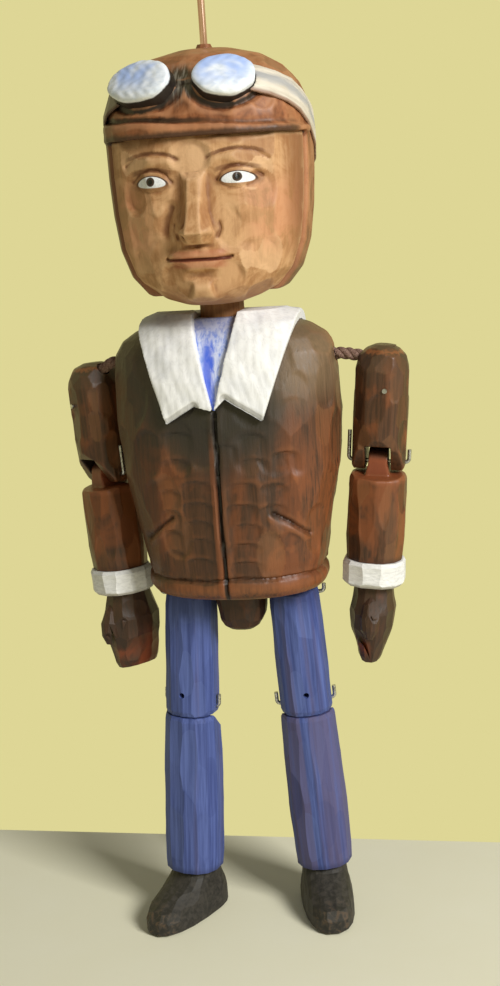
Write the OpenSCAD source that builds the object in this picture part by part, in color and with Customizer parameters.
// A carved and painted wooden marionette of an aviator, hung from a steel rod through its head.
// The origin is the middle of the rod's top end, +Z is up and the figure faces -Y.
// The figure's own left side lies on +X. All lengths are in millimetres.

/* [Head rod and neck joint] */
// Diameter of the steel rod that runs down through the head
rod_d = 3.5; // [3.2:0.1:4]
// Diameter of the rod's thinner shank inside the head
shank_d = 3; // [2.6:0.1:3]
// Length of the rod that stands above the cap
rod_clear = 140; // [80:1:180]
// Outer diameter of the flattened eye at the rod's lower end
rod_eye_d = 8.4; // [7.5:0.1:9]
// Diameter of the steel pin across the hollow for the neck
neck_pin_d = 3; // [2.5:0.1:3.5]
// Length of the neck pin, hidden in the shoulders
neck_pin_l = 34; // [30:1:40]
// Depth of the neck pin under the rim of the hollow
neck_pin_drop = 8; // [7.5:0.1:9]
// Thickness of the washer that carries the head on the rod
washer_t = 1.2; // [1:0.1:1.6]
// Diameter of that washer
washer_d = 9; // [7.5:0.1:10]
// Radial clearance of whatever turns on a pin, rod or cord
running_fit = 0.06; // [0.03:0.01:0.09]
// Angle by which the body can nod on the neck pin
nod_angle = 8; // [4:1:10]

/* [Head] */
// Height of the head from the chin to the top of the cap
head_h = 120; // [112:0.5:124]
// Width of the head over the cap
head_w = 99.5; // [94:0.5:104]
// Depth of the head over the cap
head_d = 99; // [92:1:104]
// Thickness of the cap over the skull
cap_t = 3.4; // [2.5:0.1:4]
// Height of the face opening above the chin
face_h = 79.5; // [74:0.5:84]
// Distance from the rod's axis to the cap's front edge beside the face
cap_edge_front = 18.5; // [14:0.5:24]
// Height of the rolled rim over the middle of the forehead
cap_rim_h = 5.5; // [4.5:0.5:7]
// Depth of the face behind the cap's side bands
face_sink = 1.4; // [0.8:0.1:2.4]
// Height of the small cone of wood around the rod
cap_button_h = 2.5; // [2:0.5:5]
// Diameter of that cone at its foot
cap_button_d = 11; // [9:0.5:14]
// Length of the nose from brow to tip
nose_l = 30; // [26:0.5:33]
// Width of the nose at the nostrils
nose_w = 17; // [14:0.5:19]
// Reach of the nose in front of the face
nose_out = 11; // [8:0.5:13]
// Width of the mouth
mouth_w = 32; // [26:0.5:36]
// Distance between the middles of the eyes
eye_spacing = 40; // [36:0.5:43]
// Width of an eye hollow
eye_w = 21; // [18:0.5:23]

/* [Goggles] */
// Width of the left lens
left_lens_w = 29; // [27:0.5:32]
// Width of the right lens
right_lens_w = 34; // [31:0.5:36]
// Height of one lens
lens_h = 22; // [19:0.5:24]
// Thickness of the lens where it stands out of the cap
lens_t = 4; // [3:0.25:5]
// Distance between the middles of the lenses
lens_spacing = 40; // [38:0.5:43]
// Width of the strap
strap_w = 15; // [12:0.5:17]
// Thickness of the strap over the cap
strap_t = 1.2; // [0.8:0.1:2]
// Offset of the goggles toward the figure's right
goggle_shift = 3.5; // [2:0.25:5]

/* [Neck] */
// Diameter of the neck
neck_d = 22; // [20:0.5:24]
// Height of the gap that shows the neck, chin to jacket
neck_show = 7.5; // [7:0.5:10]
// Depth to which the neck stands in its hollow
neck_seat = 2; // [1.5:0.1:2.2]
// Height to which the neck is let into the head
neck_socket = 18; // [12:1:24]

/* [Torso] */
// Width of the torso at the chest
torso_w = 115; // [110:1:120]
// Depth of the torso at the chest
torso_d = 67; // [62:1:72]
// Height of the torso from the hem to the rim of the neck hollow
torso_h = 138; // [130:1:145]
// Depth of the grooves of the zip and the hem
groove_depth = 1.2; // [0.6:0.1:1.8]
// Width of the zip groove
groove_w = 1.6; // [1.2:0.1:2.4]
// Height of the hem roll
hem_h = 11; // [9:0.5:14]
// Thickness of the jacket wall round the legs
hem_wall = 4.5; // [3.5:0.1:5.5]
// Width of the pelvis block
pelvis_w = 26; // [24:0.5:26.5]
// Depth of the pelvis block
pelvis_d = 28; // [24:1:32]
// Height of the pelvis below the hip pin
pelvis_drop = 18; // [14:0.5:22]

/* [Collar and shirt] */
// Thickness of the collar
collar_t = 4.2; // [3:0.1:5]
// Thickness of the shirt front
shirt_t = 1.2; // [0.8:0.1:2]
// Height of the collar points below the rim of the neck hollow
collar_drop = 47; // [42:0.5:52]
// Distance from the middle to the tip of a collar point
collar_tip_x = 23.5; // [20:0.5:27]
// Height of the collar at the back
collar_back_h = 22; // [16:1:28]

/* [Shoulder cord] */
// Diameter of the cord through the shoulders
cord_d = 6.5; // [5:0.1:7]
// Depth of the cord under the rim of the neck hollow
cord_drop = 20.5; // [19:0.5:24]
// Reach of the cord from the jacket to the left arm's side
left_cord_show = 8; // [7:0.5:10]
// Reach of the cord from the jacket to the right arm's side
right_cord_show = 7; // [6:0.5:9]
// Angle by which the left stretch of cord droops
left_droop = 10; // [5:1:15]
// Angle by which the right stretch of cord droops
right_droop = 25; // [18:1:28]
// Angle by which the right arm hangs back and turns out
right_arm_turn = 40; // [34:1:44]
// Angle by which each arm leans in toward the hip
arm_lean = 5; // [3:0.5:6]
// Diameter of the brad that holds the cord in the arm
brad_d = 1.2; // [1:0.1:1.6]

/* [Arms] */
// Width of the upper arm
upper_arm_w = 27.5; // [26:0.5:29]
// Depth of the upper arm
upper_arm_d = 29; // [27:0.5:31]
// Height of the upper arm's dome above the cord
arm_dome = 7; // [6:0.25:8]
// Length from the cord to the elbow pin
upper_arm_l = 51.5; // [48:0.5:54]
// Width of the slot between the ears of the elbow
elbow_slot_w = 12.5; // [11:0.25:13.5]
// Width of the forearm's tongue in that slot
elbow_tongue_w = 9.4; // [8.5:0.1:10]
// Height of the slot above the elbow pin
elbow_slot_top = 9; // [8.5:0.25:10]
// Slope of the bevel that lets the elbow bend
elbow_bevel = 57; // [50:1:60]
// Slope of the forearm's shoulder in front
forearm_bevel = 8; // [4:1:12]
// Distance from the elbow pin to the ends of the ears
ear_end = 3.8; // [3.4:0.1:4.2]
// Gap between the ears and the forearm's shoulders
elbow_gap = 1.6; // [1.2:0.1:2]
// Width of the forearm
forearm_w = 30; // [28.5:0.5:31.5]
// Length from the elbow pin to the cuff
forearm_l = 50; // [46:0.5:53]
// Height of the cuff
cuff_h = 13; // [11:0.5:15]
// Width of the cuff
cuff_w = 32.4; // [31.6:0.1:34]
// Length of the gloved hand
hand_l = 41; // [38:0.5:44]
// Width of the hand across the back of the fingers
hand_w = 24; // [21:0.5:26]
// Depth of the hand from the thumb to the little finger
hand_d = 32; // [28:0.5:33]
// Diameter of the peg through the cuff
wrist_peg_d = 8; // [6:0.5:10]

/* [Legs] */
// Distance from the middle to each hip
hip_x = 27.2; // [27:0.1:28]
// Depth of the hip pin under the hem
hip_drop = 5; // [4.5:0.1:6]
// Width of the thigh
thigh_w = 28; // [27:0.1:28.4]
// Depth of the thigh
thigh_d = 28; // [26:0.5:28.5]
// Height of the thigh's rounded top above the hip pin
thigh_dome = 8.5; // [7:0.25:9]
// Length from the hip pin to the knee pin
thigh_l = 61; // [58:0.5:64]
// Distance from the knee pin to the flat end of the thigh
knee_end = 3.7; // [3.4:0.1:4]
// Gap between the thigh and the shin
knee_gap = 0.7; // [0.5:0.1:1]
// Distance from the knee pin to the slope behind the knee
knee_ear_r = 5.2; // [4.8:0.1:5.6]
// Radius of the knee's round tongue
knee_tongue_r = 5.2; // [4.6:0.1:5.4]
// Width of the knee's tongue
knee_tongue_w = 10; // [9:0.25:11]
// Play of the tongue in its slot on every side
knee_play = 0.4; // [0.3:0.05:0.5]
// Height of the string hole above the knee pin
string_hole_up = 8.2; // [7.8:0.1:9]
// Diameter of the string hole
string_hole_d = 3; // [2.4:0.1:3.2]
// Length from the knee pin to the trouser end
shin_l = 92; // [86:0.5:96]
// Width of the shin at its widest
shin_w = 32; // [30:0.5:34]
// Angle by which the right leg splays
right_splay = 3.1; // [2.5:0.1:4.5]
// Angle by which the left leg splays
left_splay = 2.6; // [2:0.1:4]
// Angle by which the right leg swings forward at rest
right_step = 1.5; // [-3:0.1:3]
// Angle by which the left leg swings forward at rest
left_step = -2.5; // [-4:0.1:3]
// Angle by which both legs turn out
leg_turnout = 12; // [6:1:16]

/* [Shoes] */
// Height from the sole to the trouser end
shoe_h = 26; // [24:0.5:28]
// Width of the shoe
shoe_w = 28; // [26:0.5:30]
// Reach of the toe in front of the ankle
toe_l = 39; // [36:0.5:42]
// Reach of the heel behind the ankle
heel_l = 17; // [15:0.5:19]
// Angle by which the right foot points outward
right_toe_out = 25; // [18:1:28]
// Angle by which the left foot points outward
left_toe_out = 14; // [8:1:20]
// Diameter of the peg between shoe and shin
ankle_peg_d = 9; // [7:0.5:11]

/* [Wire pins] */
// Diameter of the steel wire through elbows, knees and hips
wire_d = 2; // [1.6:0.1:2.2]
// Height of the long bent end inside the elbow
wire_long_end = 15; // [10:0.5:17]
// Height of the other bent ends
wire_short_end = 6.5; // [5:0.25:8]
// Height of the bent ends at the hips
wire_hip_end = 4.2; // [3.8:0.1:4.6]

/* [Hidden] */

// Round solids are true cylinders, and this only sets how smooth they look
$fn = 48;

// Paint and wood colours
steel = "silver";
face_wood = "burlywood";
cap_brown = [0.36, 0.17, 0.09];
jacket_brown = [0.33, 0.17, 0.1];
glove_brown = [0.2, 0.12, 0.09];
trouser_blue = [0.33, 0.42, 0.68];
shirt_blue = [0.45, 0.58, 0.9];
shoe_black = [0.17, 0.17, 0.17];
cord_brown = [0.35, 0.22, 0.18];
sheepskin = "white";

// Levels below the rod's top end
cap_top = -rod_clear;
chin = cap_top - head_h;
rim = chin - neck_show;
hem = rim - torso_h;
neck_pin_z = rim - neck_pin_drop;
cord_z = rim - cord_drop;
hip_z = hem - hip_drop;

// Sides of the figure, for the parameters that differ between them
LEFT = 1;
RIGHT = -1;
function pick(side, left, right) = side == LEFT ? left : right;

// A gap that keeps flat faces and soft shapes of two moving pieces apart
free_gap = 0.4;
// Cuts run past their solids by this much
over = 1;
// A size larger than the whole figure, for half spaces
huge = 400;

// Height of the rounded edge at the end of a carved block
block_edge = 2;
// Gap between the wood and the bent ends of a wire pin
wire_gap = 0.3;

// Carved shapes: horizontal rings of points joined by triangles

// A power that keeps the sign, for rounded squares
function spow(v, p) = sign(v) * pow(abs(v), p);

// One ring at height z with its half width, front and back reach and squareness
function ring(z, a, front, back, e, n, turn = 0) = [
    for (i = [0:n - 1])
        let (t = 360 * (i + turn) / n, c = cos(t), s = sin(t))
        [a * spow(c, 2 / e), (s < 0 ? front : back) * spow(s, 2 / e), z]
];

// A closed solid through rings of equal counts, given from the bottom up
module loft(rings) {
    n = len(rings[0]);
    m = len(rings);
    points = [for (r = rings) each r];
    sides = [
        for (j = [0:m - 2], i = [0:n - 1])
            let (k = (i + 1) % n, a = j * n + i, b = j * n + k)
            each [[a, a + n, b + n], [a, b + n, b]]
    ];
    bottom = [for (i = [0:n - 1]) i];
    top = [for (i = [n - 1:-1:0]) (m - 1) * n + i];
    polyhedron(points, concat([bottom], sides, [top]));
}

// A carved stick from rows of height, width share, depth share, with its full width and depth
module stick(rows, w, d, n = 14, e = 2.3) {
    loft([for (r = rows) ring(r[0], r[1] * w / 2, r[2] * d / 2, r[2] * d / 2, e, n, 0.5)]);
}

// A carved egg shape of given half sizes
module egg(a, b, c) {
    loft([for (u = [-70:35:70]) ring(c * sin(u) / sin(70), a * cos(u), b * cos(u), b * cos(u), 2, 12, 0.5)]);
}

// A half space above z = 0, turned about X, that keeps off a pin by a distance
module half_space(angle, offset) {
    rotate([angle, 0, 0])
        translate([-huge / 2, -huge / 2, offset])
            cube(huge);
}

// A steel wire along X with both ends bent up
module bent_wire(reach_in, reach_out, up_in, up_out) {
    bend = wire_d;
    translate([-reach_in + bend, 0, 0])
        rotate([0, 90, 0])
            cylinder(d = wire_d, h = reach_in + reach_out - 2 * bend);
    for (end = [[-reach_in, up_in, 1], [reach_out, up_out, -1]]) {
        translate([end[0] + end[2] * bend, 0, bend])
            rotate([90, 0, 0])
                rotate([0, 0, end[2] > 0 ? 180 : -90])
                    rotate_extrude(angle = 90)
                        translate([bend, 0])
                            circle(d = wire_d, $fn = 24);
        translate([end[0], 0, bend])
            cylinder(d = wire_d, h = end[1] - bend);
    }
}

// Frames of the moving pieces, each built for the left side and mirrored for the right

module on_side(side) {
    mirror([side == RIGHT ? 1 : 0, 0, 0])
        children();
}

// Where the cord bends, just outside the jacket
cord_pivot_x = torso_w / 2 + 2;

// Along the bent stretch of cord, with +X pointing out into the arm
module cord_frame(side) {
    on_side(side)
        translate([cord_pivot_x, 0, cord_z])
            rotate([0, 0, pick(side, 0, right_arm_turn)])
                rotate([0, pick(side, left_droop, right_droop), 0])
                    children();
}

function arm_reach(side) = pick(side, left_cord_show, right_cord_show) - 2 + upper_arm_w / 2;

// The upper arm, with its origin where the cord ends in it
module arm_frame(side) {
    cord_frame(side)
        translate([arm_reach(side), 0, 0])
            rotate([0, arm_lean - pick(side, left_droop, right_droop), 0])
                children();
}

module elbow_frame(side) {
    arm_frame(side)
        translate([0, 0, -upper_arm_l])
            children();
}

module hip_frame(side) {
    on_side(side)
        translate([hip_x, 0, hip_z])
            rotate([-pick(side, left_step, right_step), 0, 0])
                children();
}

// Along the thigh, which is drilled for the hip pin at the splay and turn of the leg
module thigh_frame(side) {
    hip_frame(side)
        rotate([0, -pick(side, left_splay, right_splay), 0])
            rotate([0, 0, leg_turnout])
                children();
}

module knee_frame(side) {
    thigh_frame(side)
        translate([0, 0, -thigh_l])
            children();
}

// At the trouser end, turned level again so that the sole lies flat
module ankle_frame(side) {
    knee_frame(side)
        translate([0, 0, -shin_l])
            rotate([0, 0, -leg_turnout])
                rotate([0, pick(side, left_splay, right_splay), 0])
                    rotate([pick(side, left_step, right_step), 0, 0])
                        rotate([0, 0, pick(side, left_toe_out, right_toe_out)])
                            children();
}

// Rod and washer

// Where the rod's shoulder bears on the cone of wood
rod_shoulder_z = cap_top + cap_button_h + running_fit;
washer_top = rim - neck_seat - running_fit;

module head_rod() {
    color(steel)
        difference() {
            union() {
                translate([0, 0, rod_shoulder_z])
                    cylinder(d = rod_d, h = -rod_shoulder_z);
                translate([0, 0, neck_pin_z])
                    cylinder(d = shank_d, h = rod_shoulder_z - neck_pin_z);
                translate([0, 0, neck_pin_z])
                    rotate([0, 90, 0])
                        cylinder(d = rod_eye_d, h = rod_d, center = true);
            }
            translate([0, 0, neck_pin_z])
                rotate([0, 90, 0])
                    cylinder(r = neck_pin_d / 2 + running_fit, h = rod_d + 2 * over, center = true);
        }
}

module rod_washer() {
    color(steel)
        translate([0, 0, washer_top - washer_t])
            difference() {
                cylinder(d = washer_d, h = washer_t);
                rod_hole(shank_d / 2);
            }
}

module rod_hole(r = shank_d / 2 + running_fit) {
    translate([0, 0, -huge])
        cylinder(r = r, h = 2 * huge);
}

// Head: the rows give height above the chin as a share of the head's height,
// then the shares of half width, front reach and back reach, and the squareness

head_front = 0.48 * head_d;
head_back = 0.52 * head_d;
head_sides = 28;
HEAD_ROWS = [
    [0.00, 0.36, 0.66, 0.14, 2.2],
    [0.025, 0.53, 0.82, 0.34, 2.3],
    [0.06, 0.69, 0.90, 0.56, 2.4],
    [0.13, 0.83, 0.95, 0.76, 2.5],
    [0.24, 0.92, 0.97, 0.90, 2.6],
    [0.38, 0.965, 0.97, 0.97, 2.6],
    [0.52, 0.985, 0.96, 1.00, 2.6],
    [0.655, 0.99, 0.95, 1.00, 2.6],
    [0.76, 0.975, 0.93, 0.98, 2.5],
    [0.85, 0.90, 0.86, 0.90, 2.4],
    [0.92, 0.76, 0.72, 0.76, 2.3],
    [0.97, 0.55, 0.52, 0.54, 2.2],
    [1.00, 0.26, 0.25, 0.25, 2.0]
];

// The head's outer form, drawn in by an inset and cut off above or below as asked
module head_form(inset) {
    loft([
        for (r = HEAD_ROWS)
            ring(
                chin + inset * (1 - 2 * r[0]) + r[0] * head_h,
                r[1] * head_w / 2 - inset, r[2] * head_front - inset, r[3] * head_back - inset,
                r[4], head_sides, 0.5
            )
    ]);
}

face_top = chin + face_h;
eye_z = chin + head_h * 0.5;
nose_base = eye_z - 0.15 * nose_l;
mouth_z = chin + head_h * 0.2;
face_front = 0.96 * head_front - face_sink;
// The eyes lie in hollows scooped by an egg that stands mostly in front of the face
eye_out = 5;
eye_depth = 2;

// The cap's edge lies further back on the left of the head than on the right
cap_edge_turn = 9.5;

// The room in front of the cap's edge and under its rim, where the face shows
module face_room() {
    rotate([0, 0, cap_edge_turn])
        translate([-huge / 2, -huge - cap_edge_front, face_top - huge])
            cube([huge, huge, huge]);
}

module head() {
    color(face_wood)
        difference() {
            union() {
                head_form(cap_t);
                intersection() {
                    head_form(face_sink);
                    face_room();
                }
                nose();
                lips();
                chin_boss();
            }
            for (x = [-1, 1])
                translate([x * eye_spacing / 2, -face_front - eye_out, eye_z])
                    egg(eye_w / 2, eye_out + eye_depth, 0.31 * eye_w);
            mouth_line();
            neck_space(0);
            rod_hole();
        }
}

// A wedge that widens and stands out from the brow to the tip. Each row has its height as a
// share of the nose's length, the half width and reach of its ridge, then those of its sides
nose_root = 6;
NOSE_ROWS = [
    [-0.10, 0.16, 0.45, 0.38, 0.10],
    [0.07, 0.22, 1.00, 0.50, 0.30],
    [0.40, 0.17, 0.62, 0.36, 0.12],
    [1.00, 0.14, 0.22, 0.32, 0.05]
];

module nose() {
    tip = nose_base - 0.72 * nose_l;
    loft([
        for (r = NOSE_ROWS) [
            for (q = [[r[1], r[2]], [r[3], r[4]], [r[3], -1], [-r[3], -1], [-r[3], r[4]], [-r[1], r[2]]])
                [
                    q[0] * nose_w,
                    -face_front + (q[1] < 0 ? nose_root : -q[1] * nose_out),
                    tip + r[0] * nose_l
                ]
        ]
    ]);
}

// Two soft rolls of wood with the mouth between them
lip_h = 5;
lip_out = 2.5;
lip_root = 1.5;
mouth_gap = 0.8;

module lips() {
    for (up = [-1, 1])
        translate([0, lip_root - face_front, mouth_z + up * lip_h / 2])
            egg(mouth_w / 2, lip_root + lip_out, lip_h / 2 + mouth_gap);
}

module mouth_line() {
    translate([-mouth_w / 2, -face_front - 2 * lip_out, mouth_z - mouth_gap / 2])
        cube([mouth_w, 2 * lip_out - lip_root / 2, mouth_gap]);
}

chin_w = 30;
chin_h = 14;
chin_out = 1.5;

module chin_boss() {
    translate([0, chin_h / 2 - face_front, chin + 0.09 * head_h])
        egg(chin_w / 2, chin_h / 2 + chin_out, chin_h / 2);
}

// The neck's seat in the head, and the neck itself when drawn with no play
module neck_space(play) {
    translate([0, 0, rim - neck_seat])
        cylinder(r = neck_d / 2 + play, h = chin + neck_socket - rim + neck_seat);
}

module neck() {
    bevel = 1;
    color(face_wood)
        difference() {
            neck_space(0);
            rod_hole();
            translate([0, 0, rim - neck_seat])
                difference() {
                    translate([0, 0, -over])
                        cylinder(d = neck_d + 2 * over, h = over + bevel);
                    translate([0, 0, -over])
                        cylinder(r1 = neck_d / 2 - bevel - over, r2 = neck_d / 2, h = bevel + over);
                }
        }
}

// Leather cap: a shell over skull, ears and nape with a rolled rim over the face.
// The rim stands out from the cap, is thinner towards the left and fades behind the edge
cap_rim_out = 1.2;
cap_rim_lean = 3.8;
cap_rim_fade = 6;
cap_foot = 0.05 * head_h;

module cap_rim() {
    intersection() {
        head_form(-cap_rim_out);
        rotate([0, 0, cap_edge_turn])
            translate([-huge / 2, -huge, face_top])
                cube([huge, huge - cap_edge_front + cap_rim_fade, huge]);
        translate([0, 0, face_top + cap_rim_h])
            rotate([0, cap_rim_lean, 0])
                translate([-huge / 2, -huge / 2, -huge])
                    cube([huge, huge, huge]);
    }
}

module cap() {
    color(cap_brown)
        difference() {
            union() {
                head_form(0);
                cap_rim();
            }
            head_form(cap_t);
            face_room();
            translate([-huge / 2, -huge / 2, chin - huge + cap_foot])
                cube([huge, huge, huge]);
            cap_button_form();
            rod_hole();
        }
}

cap_button_root = 2;
cap_button_rim = 1.5;

module cap_button_form() {
    translate([0, 0, cap_top - cap_button_root])
        cylinder(d1 = cap_button_d, d2 = rod_d + 2 * cap_button_rim, h = cap_button_h + cap_button_root);
}

module cap_button() {
    color(cap_brown)
        difference() {
            cap_button_form();
            rod_hole();
        }
}

// Goggles pushed up on the cap, tilted back to lie on its slope
lens_z = chin + 0.875 * head_h;
lens_tilt = 35;
left_lens_yaw = 16;
right_lens_yaw = 22;
left_lens_depth = 0.81 * head_front;
right_lens_depth = 0.78 * head_front;
// How far a lens reaches into the cap before it is trimmed to it, in thicknesses
lens_root = 3;
lens_stand = 0.7;

module lens_form() {
    for (side = [RIGHT, LEFT])
        translate([
            side * lens_spacing / 2 - goggle_shift,
            -pick(side, left_lens_depth, right_lens_depth),
            lens_z
        ])
            rotate([0, 0, side * pick(side, left_lens_yaw, right_lens_yaw)])
                rotate([90 - lens_tilt, 0, 0])
                    scale([pick(side, left_lens_w, right_lens_w) / 2, lens_h / 2, 1])
                        children();
}

module goggle_lenses() {
    color("aliceblue")
        difference() {
            lens_form() {
                translate([0, 0, -lens_root * lens_t])
                    cylinder(r = 1, h = (lens_root + lens_stand) * lens_t);
            }
            head_form(0);
        }
}

// The strap runs from lens to lens round the back of the head and slopes down to the nape
strap_slope = 28;
strap_z = chin + 0.718 * head_h;

module goggle_strap() {
    color("lightsteelblue")
        difference() {
            intersection() {
                head_form(-strap_t);
                translate([0, 0, strap_z])
                    rotate([-strap_slope, 0, 0])
                        translate([-huge / 2, -huge / 2, -strap_w / 2])
                            cube([huge, huge, strap_w]);
            }
            head_form(0);
            translate([-lens_spacing / 2 - goggle_shift, -huge, -huge])
                cube([lens_spacing, huge, 2 * huge]);
            lens_form() {
                translate([0, 0, -lens_root * lens_t])
                    cylinder(r = 1, h = 2 * lens_root * lens_t);
            }
        }
}

// Torso: rows of height as a share of the torso's height, the shares of half width,
// front reach and back reach, and how far a skin over it is lifted at that height

torso_front = 0.565 * torso_d;
torso_back = 0.435 * torso_d;
torso_sides = 28;
torso_power = 2.4;
TORSO_ROWS = [
    [0.000, 0.725, 0.82, 0.80, 0],
    [0.012, 0.765, 0.89, 0.87, 0],
    [0.035, 0.79, 0.94, 0.93, 0],
    [0.070, 0.80, 0.96, 0.95, 0],
    [0.260, 0.87, 0.985, 0.97, 0],
    [0.460, 0.97, 1.00, 1.00, 0],
    [0.650, 1.00, 0.97, 1.00, 0],
    [0.800, 0.995, 0.87, 0.97, 0],
    [0.880, 0.975, 0.77, 0.92, 0.25],
    [0.930, 0.90, 0.67, 0.83, 0.6],
    [0.965, 0.77, 0.58, 0.73, 0.85],
    [1.000, 0.50, 0.43, 0.58, 1]
];

// The lips of the zip stand back from the front of the jacket by this much
zip_lip = 0.05;

// One torso ring, with a notch in front for the zip when it has a depth
function torso_ring(z, a, f, b, notch) = let (
    half = asin(min(0.9, groove_w / 2 / a)),
    angles = [
        for (i = [0:torso_sides - 1])
            let (t = -90 + 360 * (i + 0.5) / torso_sides) t
    ]
) concat(
    [[0, -f + notch, z], [a * sin(half), -f + zip_lip, z]],
    [
        for (t = angles)
            let (c = spow(cos(t), 2 / torso_power), s = spow(sin(t), 2 / torso_power))
            [a * c, (s < 0 ? f : b) * s, z]
    ],
    [[-a * sin(half), -f + zip_lip, z]]
);

// The hem's groove is a narrow row drawn in between two others
hem_groove = hem_h / torso_h;
groove_share = groove_w / torso_h;

function torso_row(share) = let (
    above = [for (i = [1:len(TORSO_ROWS) - 1]) if (TORSO_ROWS[i][0] >= share) i][0],
    p = TORSO_ROWS[above - 1],
    q = TORSO_ROWS[above],
    k = (share - p[0]) / (q[0] - p[0])
) concat([share], [for (i = [1:4]) p[i] + k * (q[i] - p[i])]);

zip_top = 0.70;
TORSO_CUT_ROWS = [
    [0, 0], [0.012, 0], [0.035, 0],
    [hem_groove - groove_share / 2, 0], [hem_groove, 1], [hem_groove + groove_share / 2, 0],
    [0.26, 0], [0.46, 0], [0.65, 0], [zip_top, 0], [0.8, 0], [0.88, 0], [0.93, 0], [0.965, 0], [1, 0]
];

// The torso's form from a share of its height upward, grown outward by a skin thickness
// and lifted at the shoulders
module torso_form(skin, grooves = false, from = 0) {
    first = from > 0 ? [[from, 0]] : [];
    rest = [for (c = TORSO_CUT_ROWS) if (c[0] > from || from == 0) c];
    loft([
        for (c = concat(first, rest))
            let (
                r = torso_row(c[0]),
                inset = grooves ? c[1] * groove_depth : 0,
                notch = grooves && c[0] > hem_groove && c[0] < zip_top + 0.001 ? groove_depth : 0
            )
            torso_ring(
                hem + r[0] * torso_h + skin * r[4],
                r[1] * torso_w / 2 + skin - inset,
                r[2] * torso_front + skin - inset,
                r[3] * torso_back + skin - inset,
                notch
            )
    ]);
}

// The hollow under the jacket that lets the legs swing, as deep as the thigh's corner sweeps
hip_hollow = thigh_d / 2 - hip_drop + 2 * free_gap;
module leg_hollow() {
    front = 0.89 * torso_front - hem_wall;
    back = 0.87 * torso_back - hem_wall;
    translate([0, 0, hem - over])
        linear_extrude(over + hip_hollow)
            polygon([
                for (i = [0:23])
                    let (t = 15 * i, c = cos(t), s = sin(t))
                    [
                        (0.79 * torso_w / 2 - hem_wall) * spow(c, 2 / 3),
                        (s < 0 ? front : back) * spow(s, 2 / 3)
                    ]
            ]);
}

// The dish that the neck stands in and the slot for the rod's eye
dish_lift = 6;
dish_d = neck_d + 2 * (neck_pin_drop + dish_lift) * tan(nod_angle);
dish_depth = neck_seat + neck_d / 2 * sin(nod_angle) + free_gap;
eye_slot_d = rod_eye_d + 2 * free_gap;

washer_play = 1.2;

module neck_hollow() {
    translate([0, 0, rim - dish_depth])
        cylinder(d = dish_d, h = dish_depth + huge);
    translate([0, 0, rim - neck_pin_drop])
        rotate([0, 90, 0])
            cylinder(d = eye_slot_d, h = rod_d + 4 * free_gap, center = true);
    translate([-rod_d / 2 - 2 * free_gap, -eye_slot_d / 2, rim - neck_pin_drop])
        cube([rod_d + 4 * free_gap, eye_slot_d, neck_pin_drop]);
    washer_room = washer_d + 2 * neck_pin_drop * tan(nod_angle);
    translate([0, 0, washer_top - washer_t - washer_play])
        cylinder(d = washer_room, h = neck_pin_drop);
}

// Slanted slashes for the pockets, turned to follow the jacket round
pocket_l = 25;
pocket_slope = 40;
pocket_turn = 30;
pocket_reach = 10;
pocket_z = hem + 0.27 * torso_h;
pocket_x = 0.59 * torso_w / 2;
pocket_y = 0.754 * torso_front;

module pocket_cuts() {
    for (side = [-1, 1])
        translate([side * pocket_x, -pocket_y, pocket_z])
            rotate([0, side * pocket_slope, side * pocket_turn])
                translate([-pocket_l / 2, -pocket_reach, -groove_w / 2])
                    cube([pocket_l, pocket_reach, groove_w]);
}

module torso() {
    color(jacket_brown)
        difference() {
            torso_form(0, true);
            neck_hollow();
            leg_hollow();
            pelvis_tenon();
            translate([0, 0, neck_pin_z])
                rotate([0, 90, 0])
                    cylinder(d = neck_pin_d, h = neck_pin_l, center = true);
            translate([0, 0, cord_z])
                rotate([0, 90, 0])
                    cylinder(d = cord_d + 2 * free_gap, h = torso_w + 2 * over, center = true);
            pocket_cuts();
        }
}

// Collar: two square points in front, joined round the back of the neck
v_foot = 41;
v_half = 0.5;
v_play = 2;
left_notch = [6, 35.5];
right_notch = [9.5, 38.8];
collar_side_x = 38.5;
collar_side_drop = 4;
// The outlines go this far up over the rim, before the torso's form trims them
collar_lift = 10;
collar_flare = 3;
// Share of the torso's height above which its form carries the collar
chest = 0.6;

module collar_outline(side) {
    notch = pick(side, left_notch, right_notch);
    polygon([
        [side * (neck_d / 2 + v_play), rim + collar_lift],
        [side * v_half, rim - v_foot],
        [side * notch[0], rim - notch[1]],
        [side * collar_tip_x, rim - collar_drop],
        [side * collar_side_x, rim - collar_side_drop],
        [side * (collar_side_x + collar_flare), rim + collar_lift]
    ]);
}

module collar() {
    color(sheepskin)
        difference() {
            intersection() {
                torso_form(collar_t, from = chest);
                union() {
                    for (side = [-1, 1])
                        rotate([90, 0, 0])
                            linear_extrude(huge)
                                collar_outline(side);
                    translate([-collar_side_x, 0, rim - collar_back_h])
                        cube([2 * collar_side_x, huge, collar_back_h + collar_t / 2]);
                }
            }
            torso_form(0, from = chest);
            neck_hollow();
            translate([0, 0, rim - over])
                cylinder(d = dish_d + 2 * over, h = huge);
        }
}

module shirt() {
    color(shirt_blue)
        difference() {
            intersection() {
                torso_form(shirt_t, from = chest);
                rotate([90, 0, 0])
                    linear_extrude(huge)
                        polygon([
                            [-neck_d / 2 - v_play, rim + collar_lift],
                            [neck_d / 2 + v_play, rim + collar_lift],
                            [v_half, rim - v_foot],
                            [-v_half, rim - v_foot]
                        ]);
            }
            torso_form(0, from = chest);
            neck_hollow();
        }
}

module neck_pin() {
    color(steel)
        translate([0, 0, neck_pin_z])
            rotate([0, 90, 0])
                cylinder(d = neck_pin_d, h = neck_pin_l, center = true);
}

// Pelvis: a tongue between the legs, let into the torso by a tenon
tenon_w = 14;
tenon_h = 8;
hollow_top = hem + hip_hollow;

module pelvis_tenon() {
    translate([-tenon_w / 2, -tenon_w / 2, hollow_top - over])
        cube([tenon_w, tenon_w, tenon_h + over]);
}

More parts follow.
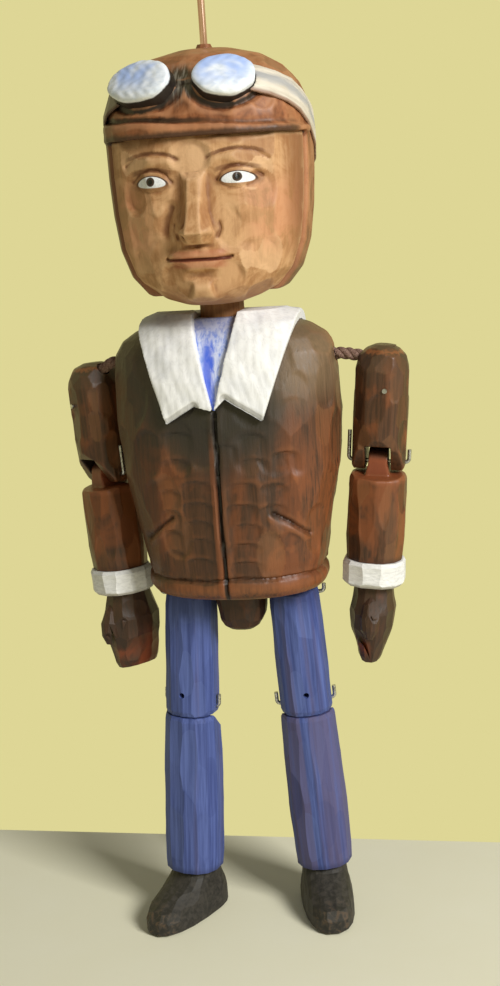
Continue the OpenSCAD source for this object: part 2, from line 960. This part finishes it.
module pelvis() {
    foot = hip_z - pelvis_drop;
    color(jacket_brown)
        difference() {
            union() {
                loft([
                    for (r = [
                        [foot, 0.52, 0.62], [foot + block_edge, 0.74, 0.82],
                        [foot + 3 * block_edge, 0.92, 0.96],
                        [hip_z - 2.5 * block_edge, 1, 1], [hollow_top, 1, 1]
                    ])
                        ring(r[0], r[1] * pelvis_w / 2, r[2] * pelvis_d / 2, r[2] * pelvis_d / 2, 3, 16, 0.5)
                ]);
                pelvis_tenon();
            }
            translate([0, 0, hip_z])
                rotate([0, 90, 0])
                    cylinder(d = wire_d, h = pelvis_w + 2 * over, center = true);
        }
}

module hip_pin() {
    reach = hip_x + thigh_w / 2 + wire_d;
    color(steel)
        translate([0, 0, hip_z])
            bent_wire(reach, reach, wire_hip_end, wire_hip_end);
}

// Shoulder cord: a hidden stretch through the torso and a bent stretch into each arm
module shoulder_cord() {
    reach = cord_pivot_x - cord_d / 2 - free_gap;
    color(cord_brown)
        translate([0, 0, cord_z])
            rotate([0, 90, 0])
                cylinder(d = cord_d, h = 2 * reach, center = true);
}

cord_in_arm = 4;

module cord_end(side) {
    color(cord_brown)
        cord_frame(side) {
            sphere(d = cord_d);
            rotate([0, 90, 0])
                cylinder(d = cord_d, h = arm_reach(side) + cord_in_arm);
        }
}

// Arms

module upper_arm_blank() {
    foot = -upper_arm_l - ear_end;
    stick([
        [foot, 0.90, 0.92], [foot + block_edge, 0.98, 0.98], [-0.55 * upper_arm_l, 1, 1],
        [-0.1 * upper_arm_l, 0.98, 1], [0.3 * arm_dome, 0.86, 0.9],
        [0.72 * arm_dome, 0.62, 0.68], [arm_dome, 0.3, 0.34]
    ], upper_arm_w, upper_arm_d);
}

bevel_offset = ear_end + elbow_gap - free_gap;

module upper_arm(side) {
    color(jacket_brown)
        difference() {
            arm_frame(side)
                difference() {
                    upper_arm_blank();
                    translate([0, 0, -upper_arm_l]) {
                        translate([-elbow_slot_w / 2, -huge / 2, -huge])
                            cube([elbow_slot_w, huge, huge + elbow_slot_top]);
                        half_space(180 - elbow_bevel, bevel_offset);
                        rotate([0, 90, 0])
                            cylinder(d = wire_d, h = upper_arm_w + 2 * over, center = true);
                    }
                }
            cord_frame(side)
                rotate([0, 90, 0])
                    cylinder(d = cord_d + 2 * running_fit, h = arm_reach(side) + cord_in_arm + free_gap);
            brad(side);
        }
}

// The brad goes in from the front and stops at the cord
brad_x = 2.5;
brad_z = -14;
brad_l = 9;
brad_head_t = 0.8;
brad_proud = 0.5;

module brad(side) {
    arm_frame(side)
        translate([brad_x, -upper_arm_d / 2 - brad_proud, brad_z])
            rotate([-90, 0, 0]) {
                cylinder(d = brad_d, h = brad_l);
                cylinder(d = 2 * brad_d, h = brad_head_t);
            }
}

module cord_brad(side) {
    color(steel)
        brad(side);
}

module elbow_pin(side) {
    reach = upper_arm_w / 2 + wire_d / 2 + wire_gap;
    color(steel)
        elbow_frame(side)
            bent_wire(reach, reach, wire_long_end, wire_short_end);
}

elbow_tongue_gap = 1.5;
elbow_tongue_r = elbow_slot_top - elbow_tongue_gap;
shoulder_z = -ear_end - elbow_gap;

module forearm(side) {
    color(jacket_brown)
        elbow_frame(side)
            difference() {
                union() {
                    difference() {
                        stick([
                            [-forearm_l, 0.95, 0.95], [-0.76 * forearm_l, 1, 1],
                            [-0.45 * forearm_l, 1, 1], [shoulder_z - 1.5 * block_edge, 0.97, 0.97],
                            [shoulder_z - 0.4 * block_edge, 0.9, 0.9], [shoulder_z, 0.8, 0.8]
                        ], forearm_w, forearm_w);
                        half_space(forearm_bevel, shoulder_z);
                    }
                    elbow_tongue();
                }
                rotate([0, 90, 0])
                    cylinder(r = wire_d / 2 + running_fit, h = elbow_tongue_w + 4 * over, center = true);
                translate([0, 0, -forearm_l - over])
                    cylinder(d = wrist_peg_d, h = peg_let_in + over);
            }
}

// A round tongue that widens to its foot and is rooted in the forearm
tongue_root = 6;
tongue_waist = 0.5;

module elbow_tongue() {
    foot_w = elbow_slot_w - 2 * free_gap;
    intersection() {
        rotate([90, 0, 0])
            linear_extrude(forearm_w, center = true)
                polygon([
                    [-foot_w / 2, shoulder_z - tongue_root], [foot_w / 2, shoulder_z - tongue_root],
                    [foot_w / 2, shoulder_z], [elbow_tongue_w / 2, -tongue_waist],
                    [elbow_tongue_w / 2, elbow_tongue_r], [-elbow_tongue_w / 2, elbow_tongue_r],
                    [-elbow_tongue_w / 2, -tongue_waist], [-foot_w / 2, shoulder_z]
                ]);
        union() {
            rotate([0, 90, 0])
                cylinder(r = elbow_tongue_r, h = forearm_w, center = true);
            translate([-forearm_w / 2, -elbow_tongue_r, shoulder_z - tongue_root])
                cube([forearm_w, 2 * elbow_tongue_r, tongue_root - shoulder_z]);
        }
    }
}

peg_let_in = 9;

module cuff(side) {
    color(sheepskin)
        elbow_frame(side)
            translate([0, 0, -forearm_l - cuff_h])
                difference() {
                    stick([
                        [0, 0.90, 0.90], [0.9 * block_edge, 1, 1],
                        [cuff_h - block_edge, 0.99, 0.99], [cuff_h, 0.92, 0.92]
                    ], cuff_w, cuff_w, 12);
                    translate([0, 0, -over])
                        cylinder(d = wrist_peg_d, h = cuff_h + 2 * over);
                }
}

module wrist_peg(side) {
    color(face_wood)
        elbow_frame(side)
            translate([0, 0, -forearm_l - cuff_h - peg_let_in])
                cylinder(d = wrist_peg_d, h = cuff_h + 2 * peg_let_in);
}

// The back of the hand sits behind the middle of the wrist
hand_set_back = 2.5;
thumb_slant = 14;

// A gloved hand with the fingers together and the thumb in front
module hand(side) {
    color(glove_brown)
        elbow_frame(side)
            translate([0, 0, -forearm_l - cuff_h])
                difference() {
                    union() {
                        translate([0, hand_set_back, 0])
                            stick([
                                [-hand_l, 0.42, 0.72], [-0.93 * hand_l, 0.54, 0.8],
                                [-0.6 * hand_l, 0.9, 0.95], [-0.36 * hand_l, 1, 1],
                                [-0.15 * hand_l, 0.88, 0.84], [0, 0.78, 0.72]
                            ], hand_w, hand_d, 12);
                        translate([0, hand_set_back - 0.4 * hand_d, -0.4 * hand_l])
                            rotate([-thumb_slant, 0, 0])
                                egg(0.23 * hand_w, 0.2 * hand_d, 0.27 * hand_l);
                    }
                    translate([0, 0, -peg_let_in])
                        cylinder(d = wrist_peg_d, h = peg_let_in + over);
                }
}

// Legs

module knee_slot() {
    r = knee_tongue_r + knee_play;
    w = knee_tongue_w + 2 * knee_play;
    rotate([0, 90, 0])
        cylinder(r = r, h = w, center = true);
    translate([-w / 2, -r, -huge])
        cube([w, huge, huge]);
    translate([-w / 2, 0, -over])
        cube([w, huge, r + over]);
}

module thigh(side) {
    foot = -thigh_l - knee_end;
    color(trouser_blue)
        difference() {
            thigh_frame(side)
                difference() {
                    stick([
                        [foot, 0.94, 0.94], [foot + 1.25 * block_edge, 1, 1],
                        [-0.7 * thigh_l, 1, 1], [-0.1 * thigh_l, 0.97, 0.98],
                        [0.2 * thigh_dome, 0.92, 0.94], [0.75 * thigh_dome, 0.68, 0.72],
                        [thigh_dome, 0.4, 0.42]
                    ], thigh_w, thigh_d);
                    translate([0, 0, -thigh_l]) {
                        knee_slot();
                        half_space(-135, knee_ear_r);
                        rotate([0, 90, 0])
                            cylinder(d = wire_d, h = thigh_w + 2 * over, center = true);
                        translate([0, -thigh_d, string_hole_up])
                            rotate([-90, 0, 0])
                                cylinder(d = string_hole_d, h = 2 * thigh_d);
                    }
                }
            hip_frame(side)
                rotate([0, 90, 0])
                    cylinder(r = wire_d / 2 + running_fit, h = 2 * thigh_w, center = true);
        }
}

module knee_pin(side) {
    reach = thigh_w / 2 + wire_d / 2 + wire_gap;
    color(steel)
        knee_frame(side)
            bent_wire(reach, reach, wire_short_end, wire_short_end);
}

// The knee's tongue is rooted in the shin by this much
knee_root = 4;

module shin(side) {
    top = -knee_end - knee_gap;
    color(trouser_blue)
        knee_frame(side)
            difference() {
                union() {
                    difference() {
                        stick([
                            [-shin_l, 0.94, 0.94], [-0.91 * shin_l, 0.98, 0.98],
                            [-0.62 * shin_l, 1, 1], [-0.3 * shin_l, 0.96, 0.96],
                            [top - 1.25 * block_edge, 0.91, 0.91], [top, 0.86, 0.86]
                        ], shin_w, shin_w);
                        half_space(-45, -knee_ear_r - free_gap);
                    }
                    rotate([0, 90, 0])
                        cylinder(r = knee_tongue_r, h = knee_tongue_w, center = true);
                    translate([-knee_tongue_w / 2, -knee_tongue_r, top - knee_root])
                        cube([knee_tongue_w, 2 * knee_tongue_r, knee_root - top]);
                }
                rotate([0, 90, 0])
                    cylinder(r = wire_d / 2 + running_fit, h = knee_tongue_w + 4 * over, center = true);
                translate([0, 0, -shin_l - over])
                    cylinder(d = ankle_peg_d, h = peg_let_in + over);
            }
}

module ankle_peg(side) {
    color(face_wood)
        knee_frame(side)
            translate([0, 0, -shin_l - peg_let_in])
                cylinder(d = ankle_peg_d, h = 2 * peg_let_in);
}

// Rows of the shoe: share of its height, then of its half width, toe reach and heel reach
SHOE_ROWS = [
    [0.00, 0.90, 0.92, 0.88],
    [0.06, 1.00, 1.00, 1.00],
    [0.34, 1.00, 1.00, 1.00],
    [0.50, 0.97, 0.93, 0.99],
    [0.64, 0.92, 0.73, 0.95],
    [0.78, 0.88, 0.50, 0.88],
    [0.90, 0.84, 0.36, 0.80],
    [1.00, 0.82, 0.30, 0.74]
];

// The shoe ends this far under the trouser end, so that its sloping top stays clear of it
shoe_gap = 1.2;

module shoe(side) {
    color(shoe_black)
        difference() {
            ankle_frame(side)
                translate([0, 0, -shoe_h])
                    loft([
                        for (r = SHOE_ROWS)
                            ring(
                                r[0] * (shoe_h - shoe_gap),
                                r[1] * shoe_w / 2, r[2] * toe_l, r[3] * heel_l,
                                2.5, 20, 0.5
                            )
                    ]);
            knee_frame(side)
                translate([0, 0, -shin_l - peg_let_in])
                    cylinder(d = ankle_peg_d, h = 2 * peg_let_in);
        }
}

head_rod();
rod_washer();
head();
cap();
cap_button();
goggle_lenses();
goggle_strap();
neck();
torso();
collar();
shirt();
pelvis();
neck_pin();
shoulder_cord();
hip_pin();
cord_end(LEFT);  // left_cord_end
upper_arm(LEFT);  // left_upper_arm
cord_brad(LEFT);  // left_cord_brad
elbow_pin(LEFT);  // left_elbow_pin
forearm(LEFT);  // left_forearm
cuff(LEFT);  // left_cuff
wrist_peg(LEFT);  // left_wrist_peg
hand(LEFT);  // left_hand
cord_end(RIGHT);  // right_cord_end
upper_arm(RIGHT);  // right_upper_arm
cord_brad(RIGHT);  // right_cord_brad
elbow_pin(RIGHT);  // right_elbow_pin
forearm(RIGHT);  // right_forearm
cuff(RIGHT);  // right_cuff
wrist_peg(RIGHT);  // right_wrist_peg
hand(RIGHT);  // right_hand
thigh(LEFT);  // left_thigh
knee_pin(LEFT);  // left_knee_pin
shin(LEFT);  // left_shin
ankle_peg(LEFT);  // left_ankle_peg
shoe(LEFT);  // left_shoe
thigh(RIGHT);  // right_thigh
knee_pin(RIGHT);  // right_knee_pin
shin(RIGHT);  // right_shin
ankle_peg(RIGHT);  // right_ankle_peg
shoe(RIGHT);  // right_shoe
